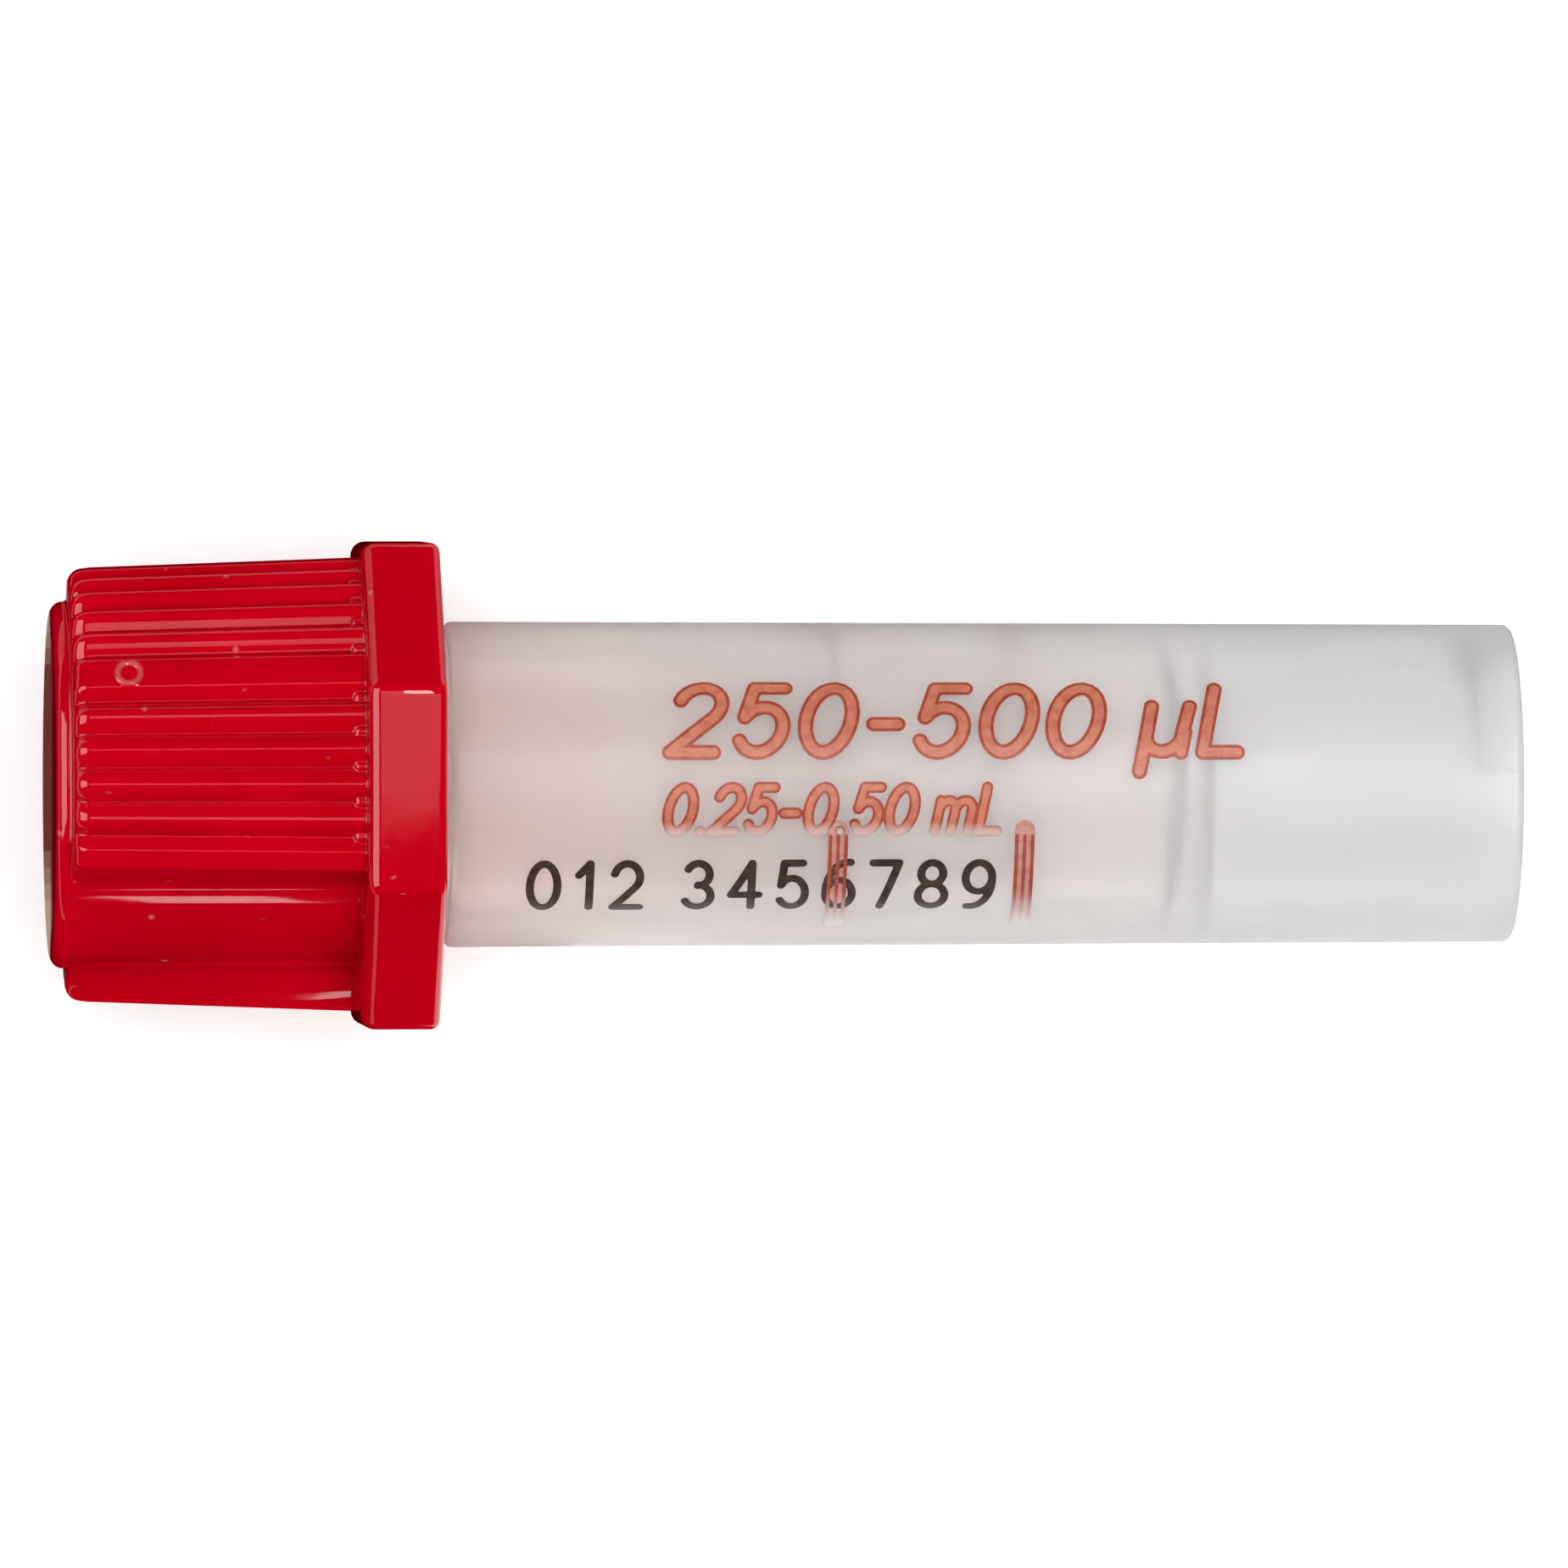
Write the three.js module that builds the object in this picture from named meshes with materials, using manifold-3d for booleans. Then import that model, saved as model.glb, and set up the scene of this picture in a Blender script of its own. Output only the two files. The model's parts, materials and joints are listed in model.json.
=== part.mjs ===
// A capillary blood collection tube with its push-on closure, lying at rest on a level surface.
//
// Both pieces are drawn upright about +Z, with z = 0 at the skirt rim and the closure on top, and with
// +X as the side that ends up facing the sky. The last section then lays them down: the closure points
// along -X and the tube rests on one flat of the octagonal flange and on the rim of its skirt.
// Millimetres throughout, +Z up.

import * as THREE from "three";
import { mergeVertices, toCreasedNormals } from "three/addons/utils/BufferGeometryUtils.js";
import Module from "manifold-3d";

// ---------------------------------------------------------------- driving dimensions, whole part

const overallLength = 45; // skirt rim to closure top
const fitGap = 0.3; // clearance wherever the closure faces the tube

// ---------------------------------------------------------------- driving dimensions, tube

const boreRadius = 3.85; // reservoir, at the mouth
const boreDraft = 0.15; // the reservoir is this much narrower at its floor
const bodyWall = 1.15; // wall of the body, under the closure
const bodyDraft = 0.12; // the outside is this much narrower at the skirt rim
const neckWall = 0.75; // thinner wall of the neck that the closure covers
const bowlDepth = 0.9; // dished bottom of the reservoir
const floorThickness = 0.6; // between the bowl and the skirt's ceiling, on the axis
const skirtDepth = 9.5; // hollow foot below the reservoir
const skirtWall = 1.1;
const skirtDraft = 0.08; // the hollow foot is this much narrower at its ceiling
const ceilingRound = 0.12; // fillet between the foot's wall and its ceiling
const rimRound = 0.25; // outer edge of the skirt rim
const shoulderRound = 0.2;
const mouthRound = 0.2; // both edges of the mouth
const lipRise = 2.4; // the collecting lip stands this far above the rest of the mouth
const lipSlope = 2.6; // width over which the mouth drops from the lip to its low side
const keyDepth = 0.3; // shallow key recess inside the skirt, at the rim
const keyHeight = 1.35;
const keyAngle = 51; // its middle, in degrees round from +X
const keyHalfAngle = 45;

// ---------------------------------------------------------------- driving dimensions, closure

const closureLength = 11.83; // top face to open end
const closureWall = 0.73; // round core, outside the neck
const topThickness = 2;
const topRound = 0.4; // edge of the top face
const padStep = 0.5; // the grip pads start this far below the top face
const padRiseTop = 1.08; // pads above the core, at the end near the top face
const padRiseBase = 1.41; // and where they meet the flange
const padRound = 0.5; // their end near the top face
const padCentre = 31.2; // middle of the first pad, in degrees round from +X
const padCount = 2;
const padHalfAngle = 52.3; // of the outer face
const padFootHalfAngle = 66; // where the side wall has run out into the core
const padWallLean = 0.55; // how far the side wall keeps to the mould's opening direction, 0 to 1
const grooveCount = 5; // on each side of a pad's plain middle
const groovePitch = 9.2; // degrees
const grooveFirst = 7.2; // first groove, in degrees from the pad's middle
const grooveDepth = 0.33;
const pipRadius = 0.2; // round-ended pip that closes each groove against the flange
const pipLength = 0.4; // from the flange to its round end
const gateRadius = 0.36; // raised ring that the mould's gate leaves on the first pad
const gateRelief = 0.06; // it stands this far proud
const gateBelowTop = 2.2; // its middle, from the top face
const flangeProud = 0.41; // octagon's flats beyond the pads
const flangeSides = 8;
const flangeThickness = 2.43;
const flangeCornerRound = 0.54;
const flangeEdgeRound = 0.3; // on the tube's side
const flangePadEdgeRound = 0.44; // on the pads' side
const plugWall = 1;
const plugLength = 4.6; // hollow plug that enters the mouth
const plugTipRound = 0.35;
const mouthChamfer = 0.25; // lead-in at the closure's open end

// ---------------------------------------------------------------- facets

const turnSegments = 64; // round a full turn
const roundSegments = 3; // along a small edge round
const bowlSegments = 8;
const grooveSteps = 6; // points from one groove to the next
const pipSides = 10;
const creaseAngle = THREE.MathUtils.degToRad(24);

// ---------------------------------------------------------------- sizes that follow

const neckRadius = boreRadius + neckWall;
const bodyRadius = boreRadius + bodyWall;
const rimRadius = bodyRadius - bodyDraft;
const floorBoreRadius = boreRadius - boreDraft;
const floorZ = skirtDepth + floorThickness;
const openEndZ = overallLength - closureLength;
const shoulderZ = openEndZ - fitGap;
const lipZ = overallLength - topThickness - fitGap;
const lowMouthZ = lipZ - lipRise;
const skirtRimBore = rimRadius - skirtWall;

const closureBore = neckRadius + fitGap;
const coreRadius = closureBore + closureWall;
const plugRadius = boreRadius - fitGap;
const padTopRadius = coreRadius + padRiseTop;
const padBaseRadius = coreRadius + padRiseBase;
const padTopZ = overallLength - padStep;
const flangeTopZ = openEndZ + flangeThickness;
const flangeInradius = padBaseRadius + flangeProud;
const ceilingZ = overallLength - topThickness;

// ---------------------------------------------------------------- solids

const wasm = await Module();
wasm.setup();

/** A closed three.js geometry as a manifold solid. */
function solid(geometry) {
  const bare = geometry.clone();
  bare.deleteAttribute("normal");
  bare.deleteAttribute("uv");
  const merged = mergeVertices(bare, 1e-5);
  const corners = merged.index.array;
  const kept = [];
  for (let i = 0; i < corners.length; i += 3) {
    const [a, b, c] = [corners[i], corners[i + 1], corners[i + 2]];
    if (a !== b && b !== c && c !== a) kept.push(a, b, c);
  }
  return new wasm.Manifold(
    new wasm.Mesh({
      numProp: 3,
      vertProperties: new Float32Array(merged.attributes.position.array),
      triVerts: new Uint32Array(kept),
    }),
  );
}

/** A manifold solid as a named three.js mesh. */
function mesh(name, body, material) {
  const { vertProperties, triVerts } = body.getMesh();
  const geometry = new THREE.BufferGeometry();
  geometry.setAttribute("position", new THREE.BufferAttribute(vertProperties, 3));
  geometry.setIndex(new THREE.BufferAttribute(triVerts, 1));
  const made = new THREE.Mesh(toCreasedNormals(geometry, creaseAngle), material);
  made.name = name;
  return made;
}

/** Profile points [radius, z] turned about +Z. The outside of the profile runs upwards. */
function revolve(profile) {
  const points = profile.map(([radius, z]) => new THREE.Vector2(radius, z));
  return solid(new THREE.LatheGeometry(points, turnSegments).rotateX(Math.PI / 2));
}

/** A flat outline in XY, pushed from one height to another. */
function prism(shape, fromZ, toZ, curveSegments = roundSegments) {
  const depth = toZ - fromZ;
  const options = { depth, bevelEnabled: false, curveSegments };
  return solid(new THREE.ExtrudeGeometry(shape, options).translate(0, 0, fromZ));
}

/** Points along an elliptical arc, angles in degrees, 0 along +radius and 90 along +Z. */
function arc(centreRadius, centreZ, radiusR, radiusZ, from, to, segments = roundSegments) {
  return Array.from({ length: segments + 1 }, (_, i) => {
    const angle = THREE.MathUtils.degToRad(from + ((to - from) * i) / segments);
    return [centreRadius + radiusR * Math.cos(angle), centreZ + radiusZ * Math.sin(angle)];
  });
}

/** A point in XY at a radius and an angle in degrees. */
function polar(radius, degrees) {
  const angle = THREE.MathUtils.degToRad(degrees);
  return new THREE.Vector2(radius * Math.cos(angle), radius * Math.sin(angle));
}

// ---------------------------------------------------------------- tube

/** Reservoir, floor, hollow skirt and neck in one turned profile. */
function tubeBlank() {
  const ceilingBore = skirtRimBore - skirtDraft;
  return revolve([
    [0, skirtDepth],
    ...arc(ceilingBore - ceilingRound, skirtDepth - ceilingRound, ceilingRound, ceilingRound, 90, 0),
    [skirtRimBore, 0],
    ...arc(rimRadius - rimRound, rimRound, rimRound, rimRound, -90, 0),
    ...arc(bodyRadius - shoulderRound, shoulderZ - shoulderRound, shoulderRound, shoulderRound, 0, 90),
    [neckRadius, shoulderZ],
    ...arc(neckRadius - mouthRound, lipZ - mouthRound, mouthRound, mouthRound, 0, 90),
    ...arc(boreRadius + mouthRound, lipZ - mouthRound, mouthRound, mouthRound, 90, 180),
    [boreRadius, shoulderZ],
    ...arc(0, floorZ + bowlDepth, floorBoreRadius, bowlDepth, 0, -90, bowlSegments),
  ]);
}

/** Everything above the mouth: low on the -X side, rising in an S to the collecting lip on +X. */
function aboveMouth() {
  const reach = 2 * neckRadius;
  const half = lipSlope / 2;
  const clearOfLip = lipZ + lipRise;
  const outline = new THREE.Shape();
  outline.moveTo(-reach, lowMouthZ);
  outline.lineTo(-half, lowMouthZ);
  outline.bezierCurveTo(0, lowMouthZ, 0, lipZ, half, lipZ);
  outline.lineTo(half, clearOfLip);
  outline.lineTo(-reach, clearOfLip);
  outline.closePath();
  const options = { depth: 2 * reach, bevelEnabled: false, curveSegments: 2 * bowlSegments };
  const block = new THREE.ExtrudeGeometry(outline, options).translate(0, 0, -reach);
  return solid(block.rotateX(Math.PI / 2));
}

/** The shallow recess inside the skirt, open at the rim. */
function keyRecess() {
  const from = keyAngle - keyHalfAngle;
  const to = keyAngle + keyHalfAngle;
  const outline = new THREE.Shape();
  const start = polar(skirtRimBore / 2, from);
  outline.moveTo(start.x, start.y);
  const radians = [from, to].map(THREE.MathUtils.degToRad);
  outline.absarc(0, 0, skirtRimBore + keyDepth, radians[0], radians[1], false);
  outline.absarc(0, 0, skirtRimBore / 2, radians[1], radians[0], true);
  return prism(outline, -keyHeight, keyHeight, 2 * bowlSegments);
}

function tube() {
  return tubeBlank().subtract(aboveMouth()).subtract(keyRecess());
}

// ---------------------------------------------------------------- closure

/** The round core with its top face. */
function core() {
  return revolve([
    [0, openEndZ + flangeEdgeRound],
    [coreRadius, openEndZ + flangeEdgeRound],
    ...arc(coreRadius - topRound, overallLength - topRound, topRound, topRound, 0, 90),
    [0, overallLength],
  ]);
}

/** The drafted outside that every pad reaches to, rounded at the end near the top face. */
function padEnvelope() {
  return revolve([
    [0, flangeTopZ - flangePadEdgeRound],
    [padBaseRadius, flangeTopZ - flangePadEdgeRound],
    ...arc(padTopRadius - padRound, padTopZ - padRound, padRound, padRound, 0, 90),
    [0, padTopZ],
  ]);
}

/** Depth of the knurl, 0 to 1, at an angle from a pad's middle: sharp grooves, rounded crests. */
function knurl(offset) {
  const fromFirst = Math.abs(offset) - grooveFirst;
  const nearest = THREE.MathUtils.clamp(Math.round(fromFirst / groovePitch), 0, grooveCount - 1);
  const distance = Math.abs(fromFirst - nearest * groovePitch) / (groovePitch / 2);
  return distance < 1 ? (1 - distance) ** 2 : 0;
}

/** One pad seen along the axis: a sector with a knurled outer face and side walls that run out into
 *  the core along the mould's opening direction. */
function padOutline(middle) {
  const outerRadius = padBaseRadius;
  const lastCrest = grooveFirst + (grooveCount - 0.5) * groovePitch;
  const firstCrest = grooveFirst - groovePitch / 2;
  const crests = Math.round((lastCrest - firstCrest) / groovePitch) * grooveSteps;
  const offsets = Array.from({ length: crests + 1 }, (_, i) => firstCrest + (groovePitch * i) / grooveSteps);
  const oneSide = offsets.filter((offset) => offset < padHalfAngle);
  const across = [-padHalfAngle, ...oneSide.map((o) => -o).reverse(), ...oneSide, padHalfAngle];

  const outline = new THREE.Shape();
  const foot = (side) => polar(coreRadius, middle + side * padFootHalfAngle);
  const shoulder = (side) => polar(outerRadius, middle + side * padHalfAngle);
  const bend = (side) => {
    const straight = polar(coreRadius, middle + side * padHalfAngle);
    return straight.lerp(polar(coreRadius, middle + side * padFootHalfAngle), padWallLean);
  };
  outline.moveTo(0, 0);
  outline.lineTo(foot(-1).x, foot(-1).y);
  outline.quadraticCurveTo(bend(-1).x, bend(-1).y, shoulder(-1).x, shoulder(-1).y);
  for (const offset of across.slice(1, -1)) {
    const point = polar(outerRadius - grooveDepth * knurl(offset), middle + offset);
    outline.lineTo(point.x, point.y);
  }
  outline.lineTo(shoulder(1).x, shoulder(1).y);
  outline.quadraticCurveTo(bend(1).x, bend(1).y, foot(1).x, foot(1).y);
  outline.closePath();
  return outline;
}

/** One knurled pad. Its outline narrows towards the top face by the same draft as its envelope. */
function pad(middle) {
  const depth = padTopZ - flangeTopZ + flangePadEdgeRound;
  const options = { depth, bevelEnabled: false, curveSegments: 6 };
  const blank = new THREE.ExtrudeGeometry(padOutline(middle), options);
  const place = blank.attributes.position;
  const narrow = (padTopRadius - grooveDepth) / (padBaseRadius - grooveDepth);
  for (let i = 0; i < place.count; i += 1) {
    const scale = THREE.MathUtils.lerp(1, narrow, place.getZ(i) / options.depth);
    place.setXY(i, place.getX(i) * scale, place.getY(i) * scale);
  }
  return solid(blank.translate(0, 0, flangeTopZ - flangePadEdgeRound));
}

/** The round-ended pips that close the grooves of one pad against the flange. */
function pips(middle) {
  const roundEnd = pipLength - pipRadius;
  const sunk = flangePadEdgeRound;
  const profile = [[0, -sunk], [pipRadius, -sunk], ...arc(0, roundEnd, pipRadius, pipRadius, 0, 90)];
  const points = profile.map(([radius, z]) => new THREE.Vector2(radius, z));
  const one = solid(new THREE.LatheGeometry(points, pipSides).rotateX(Math.PI / 2));
  const seat = padBaseRadius - grooveDepth;
  return [-1, 1].flatMap((side) =>
    Array.from({ length: grooveCount }, (_, i) => {
      const at = polar(seat, middle + side * (grooveFirst + i * groovePitch));
      return one.translate(at.x, at.y, flangeTopZ);
    }),
  );
}

/** The raised ring round the gate mark, half sunk in the drafted face of the first pad. */
function gateMark() {
  const height = overallLength - gateBelowTop;
  const towardsTop = (height - flangeTopZ) / (padTopZ - flangeTopZ);
  const seat = THREE.MathUtils.lerp(padBaseRadius, padTopRadius, towardsTop);
  const ring = new THREE.TorusGeometry(gateRadius, gateRelief, 6, 18).rotateY(Math.PI / 2);
  ring.translate(seat, 0, height).rotateZ(THREE.MathUtils.degToRad(padCentre));
  return solid(ring);
}

/** An octagonal plate with a flat facing +X and both its edges rounded. */
function octagonPlate(fromZ, toZ, edgeRound) {
  const outline = new THREE.Shape();
  const halfSide = 180 / flangeSides;
  const cornerDistance = (flangeInradius - flangeCornerRound) / Math.cos(THREE.MathUtils.degToRad(halfSide));
  for (let i = 0; i < flangeSides; i += 1) {
    const direction = halfSide + (i * 360) / flangeSides;
    const centre = polar(cornerDistance, direction);
    const [from, to] = [direction - halfSide, direction + halfSide].map(THREE.MathUtils.degToRad);
    outline.absarc(centre.x, centre.y, flangeCornerRound, from, to, false);
  }
  const options = {
    depth: toZ - fromZ - 2 * edgeRound,
    bevelSize: edgeRound,
    bevelOffset: -edgeRound,
    bevelThickness: edgeRound,
    bevelSegments: roundSegments,
    curveSegments: roundSegments,
  };
  return solid(new THREE.ExtrudeGeometry(outline, options).translate(0, 0, fromZ + edgeRound));
}

/** The flange: two plates that overlap in it, one for the edge round of each side. */
function flange() {
  const beyond = 2 * flangePadEdgeRound;
  const tubeSide = octagonPlate(openEndZ, flangeTopZ + beyond, flangeEdgeRound);
  return tubeSide.intersect(octagonPlate(openEndZ - beyond, flangeTopZ, flangePadEdgeRound));
}

/** The space inside: the bore over the neck, less the hollow plug, with a lead-in at the open end. */
function inside() {
  const below = openEndZ - 1;
  const bore = revolve([
    [0, below],
    [closureBore + mouthChamfer, below],
    [closureBore + mouthChamfer, openEndZ],
    [closureBore, openEndZ + mouthChamfer],
    [closureBore, ceilingZ],
    [0, ceilingZ],
  ]);
  const tipZ = ceilingZ - plugLength;
  const plugBore = plugRadius - plugWall;
  const plug = revolve([
    [plugBore, ceilingZ + 1],
    [plugBore, tipZ],
    ...arc(plugRadius - plugTipRound, tipZ + plugTipRound, plugTipRound, plugTipRound, -90, 0),
    [plugRadius, ceilingZ + 1],
    [plugBore, ceilingZ + 1],
  ]);
  return bore.subtract(plug);
}

function closure() {
  let body = core().add(flange());
  for (let i = 0; i < padCount; i += 1) {
    const middle = padCentre + (i * 360) / padCount;
    body = body.add(pad(middle).intersect(padEnvelope()));
    for (const pip of pips(middle)) body = body.add(pip);
  }
  return body.add(gateMark()).subtract(inside());
}

// ---------------------------------------------------------------- laid down

/** Tilt of the axis, in radians, when the flange's lower flat and the skirt rim touch one level
 *  surface. Both contacts are edge rounds, so the surface is tangent to two circles. */
function restTilt() {
  const run = openEndZ + flangeEdgeRound - rimRound;
  const rise = flangeInradius - flangeEdgeRound - (rimRadius - rimRound);
  return Math.atan2(rise, run) + Math.asin((flangeEdgeRound - rimRound) / Math.hypot(run, rise));
}

const frostedPolypropylene = new THREE.MeshStandardMaterial({
  color: 0xd8d6d2,
  roughness: 0.45,
  metalness: 0,
  transparent: true,
  opacity: 0.75,
});
const redPolyethylene = new THREE.MeshStandardMaterial({ color: 0xbe0018, roughness: 0.28, metalness: 0 });

const upright = new THREE.Group();
upright.add(mesh("tube", tube(), frostedPolypropylene));
upright.add(mesh("closure", closure(), redPolyethylene));
upright.rotation.y = -(Math.PI / 2 - restTilt());

const part = new THREE.Group();
part.name = "blood_collection_tube";
part.add(upright);

// The origin is the middle of the part's bounding box, on the surface it lies on.
part.updateMatrixWorld(true);
const bounds = new THREE.Box3().setFromObject(part, true);
upright.position.set(-(bounds.min.x + bounds.max.x) / 2, -(bounds.min.y + bounds.max.y) / 2, -bounds.min.z);

export default part;
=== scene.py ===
# Looks of a capillary blood collection tube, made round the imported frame.
#
# Both mouldings are drawn upright in their own coordinates, in millimetres: z = 0 at the skirt rim, the
# closure on top, +X towards the sky once the tube lies down. to_row carries them into the row frame.
# The sizes are those of the CAD part, with smooth curves where that one has facets.
import json
import math

import bmesh
import bpy
import numpy as np
from mathutils import Matrix, Vector


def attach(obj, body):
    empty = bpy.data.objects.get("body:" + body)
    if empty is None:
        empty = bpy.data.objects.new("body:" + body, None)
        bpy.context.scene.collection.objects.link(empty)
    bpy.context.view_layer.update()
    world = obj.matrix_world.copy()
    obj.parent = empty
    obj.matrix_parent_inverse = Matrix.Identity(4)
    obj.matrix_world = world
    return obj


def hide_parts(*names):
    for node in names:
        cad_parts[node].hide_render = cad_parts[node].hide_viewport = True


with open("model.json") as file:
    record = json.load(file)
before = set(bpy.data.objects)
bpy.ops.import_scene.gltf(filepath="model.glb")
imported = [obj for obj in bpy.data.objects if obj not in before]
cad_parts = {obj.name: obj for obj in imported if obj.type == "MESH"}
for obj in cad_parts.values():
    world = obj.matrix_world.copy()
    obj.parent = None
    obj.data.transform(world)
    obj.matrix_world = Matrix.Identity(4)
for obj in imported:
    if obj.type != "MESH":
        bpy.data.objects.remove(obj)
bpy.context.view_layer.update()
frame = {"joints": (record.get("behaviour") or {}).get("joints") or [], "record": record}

MM = 0.001

# ---------------------------------------------------------------- where the frame says the axis is

mounts = {m["name"]: m for m in frame["record"]["mounts"]}
pull = next(j for j in frame["joints"] if j["name"] == "closure_pull")
axis = Vector(pull["axis"]).normalized()
top_centre = Vector(mounts["closure_top"]["pos_m"])
LENGTH = round((top_centre - Vector(mounts["skirt_rim"]["pos_m"])).dot(axis) / MM, 3)
rim_centre = top_centre - axis * LENGTH * MM
sideways = Vector((0, 1, 0))
skyward = sideways.cross(axis)
turn = Matrix((skyward, sideways, axis)).transposed().to_4x4()
to_row = Matrix.Translation(rim_centre) @ turn

# ---------------------------------------------------------------- sizes, in mm and degrees

FIT_GAP = 0.3  # wherever the closure faces the tube

# Tube. BORE, BODY, NECK and RIM are radii.
BORE = 3.85
BORE_DRAFT = 0.15
BODY_WALL = 1.15
BODY_DRAFT = 0.12
NECK_WALL = 0.75
BOWL_DEPTH = 0.9
FLOOR = 0.6
SKIRT_DEPTH = 9.5
SKIRT_WALL = 1.1
SKIRT_DRAFT = 0.08
CEILING_ROUND = 0.12
RIM_ROUND = 0.25
SHOULDER_ROUND = 0.2
MOUTH_ROUND = 0.2
LIP_RISE = 2.4
LIP_SLOPE = 2.6
KEY_DEPTH = 0.3  # shallow key recess inside the skirt, at the rim
KEY_HEIGHT = 1.35
KEY_ANGLE = 51
KEY_HALF_ANGLE = 45

# Closure. CORE, PLUG and the pads' and flange's radii follow below.
CLOSURE_LENGTH = 11.83
CLOSURE_WALL = 0.73
TOP_THICKNESS = 2
TOP_ROUND = 0.4
PAD_STEP = 0.5  # the pads start this far below the top face
PAD_RISE_TOP = 1.08
PAD_RISE_BASE = 1.41
PAD_ROUND = 0.5
PAD_CENTRE = 31.2
PAD_HALF = 52.3  # half angle of the outer face
PAD_FOOT = 66  # half angle where the side wall has run out into the core
PAD_LEAN = 0.55
GROOVES = 5
GROOVE_PITCH = 9.2
GROOVE_FIRST = 7.2
GROOVE_DEPTH = 0.33
GROOVE_HALF_WIDTH = 0.36  # on the side where a groove borders a plain part
GROOVE_ROUND = 0.05  # at the bottom of each groove
PIP_RADIUS = 0.2
GATE_RADIUS = 0.36
GATE_RELIEF = 0.055  # a little less than the CAD's 0.06
GATE_SOFTNESS = 0.075
GATE_BELOW_TOP = 2.2
FLANGE_PROUD = 0.41
FLANGE_THICKNESS = 2.43
FLANGE_CORNER = 0.54
FLANGE_LOW_EDGE = 0.3
FLANGE_PAD_EDGE = 0.44
PLUG_WALL = 1
PLUG_LENGTH = 4.6
PLUG_TIP_ROUND = 0.35
MOUTH_CHAMFER = 0.25
FILLET = 0.12

NECK = BORE + NECK_WALL
BODY = BORE + BODY_WALL
RIM = BODY - BODY_DRAFT
OPEN_END = LENGTH - CLOSURE_LENGTH
SHOULDER = OPEN_END - FIT_GAP
LIP = LENGTH - TOP_THICKNESS - FIT_GAP
RIM_BORE = RIM - SKIRT_WALL
CLOSURE_BORE = NECK + FIT_GAP
CORE = CLOSURE_BORE + CLOSURE_WALL
PLUG = BORE - FIT_GAP
PAD_TOP = LENGTH - PAD_STEP
FLANGE_TOP = OPEN_END + FLANGE_THICKNESS
PAD_BASE_RADIUS = CORE + PAD_RISE_BASE
PAD_TOP_RADIUS = CORE + PAD_RISE_TOP
FLANGE_INRADIUS = PAD_BASE_RADIUS + FLANGE_PROUD
CEILING = LENGTH - TOP_THICKNESS
GATE_HEIGHT = LENGTH - GATE_BELOW_TOP


# ---------------------------------------------------------------- meshes turned about the axis


class Turned:
    """A surface made of rings about the axis. A ring's radius and height may change round the turn."""

    def __init__(self, angles):
        self.angles = angles
        self.radii = []
        self.heights = []

    def ring(self, radius, height):
        self.radii.append(np.broadcast_to(radius, self.angles.shape).astype(float))
        self.heights.append(np.broadcast_to(height, self.angles.shape).astype(float))

    def bend(self, radius, height, round_r, start, end, steps=5, round_z=None):
        """Rings along an arc about (radius, height), angles from +radius towards +height."""
        round_z = round_r if round_z is None else round_z
        for angle in np.radians(np.linspace(start, end, steps + 1)):
            self.ring(radius + round_r * math.cos(angle), height + round_z * math.sin(angle))

    def mesh(self, name):
        """The rings as one closed mesh. The first and the last ring lie on the axis."""
        turns = np.radians(self.angles)
        count = len(turns)
        radii = np.array(self.radii[1:-1])
        heights = np.array(self.heights[1:-1])
        rows = len(radii)
        points = np.stack([radii * np.cos(turns), radii * np.sin(turns), heights], -1).reshape(-1, 3)
        poles = [[0, 0, self.heights[0][0]], [0, 0, self.heights[-1][0]]]
        points = np.vstack([points, poles]) * MM
        here = np.arange(count)
        after = (here + 1) % count
        faces = []
        for row in range(rows - 1):
            low, high = row * count, (row + 1) * count
            faces += np.stack([low + here, low + after, high + after, high + here], -1).tolist()
        first, last = rows * count, rows * count + 1
        faces += np.stack([np.full(count, first), after, here], -1).tolist()
        end = (rows - 1) * count
        faces += np.stack([end + here, end + after, np.full(count, last)], -1).tolist()
        made = bpy.data.meshes.new(name)
        made.from_pydata(points.tolist(), [], faces)
        made.shade_smooth()
        return made


def add_piece(name, mesh, material, body, replaces=None, weighted=True):
    """A piece in the tube's own coordinates, carried into the row frame on a CAD body."""
    mesh.transform(to_row)
    piece = bpy.data.objects.new(name, mesh)
    bpy.context.scene.collection.objects.link(piece)
    mesh.materials.append(material)
    if weighted:
        normals = piece.modifiers.new("flat faces stay flat", "WEIGHTED_NORMAL")
        normals.keep_sharp = True
    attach(piece, body)
    if replaces:
        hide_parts(replaces)
    return piece


def thinned(angles, least=0.02):
    """Sorted angles in [0, 360) without any two closer than least."""
    ordered = np.sort(np.mod(angles, 360))
    kept = [ordered[0]]
    for angle in ordered[1:]:
        if angle - kept[-1] > least:
            kept.append(angle)
    if kept[0] + 360 - kept[-1] <= least:
        kept.pop()
    return np.array(kept)


# ---------------------------------------------------------------- closure


def pad_offset(angles):
    """Signed angle from the middle of the nearest pad, -90 to 90."""
    return np.mod(angles - PAD_CENTRE + 90, 180) - 90


def soft_least(a, b, softness):
    """The lesser of two values, rounded where they meet."""
    return -softness * np.log(np.exp(-a / softness) + np.exp(-b / softness))


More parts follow.
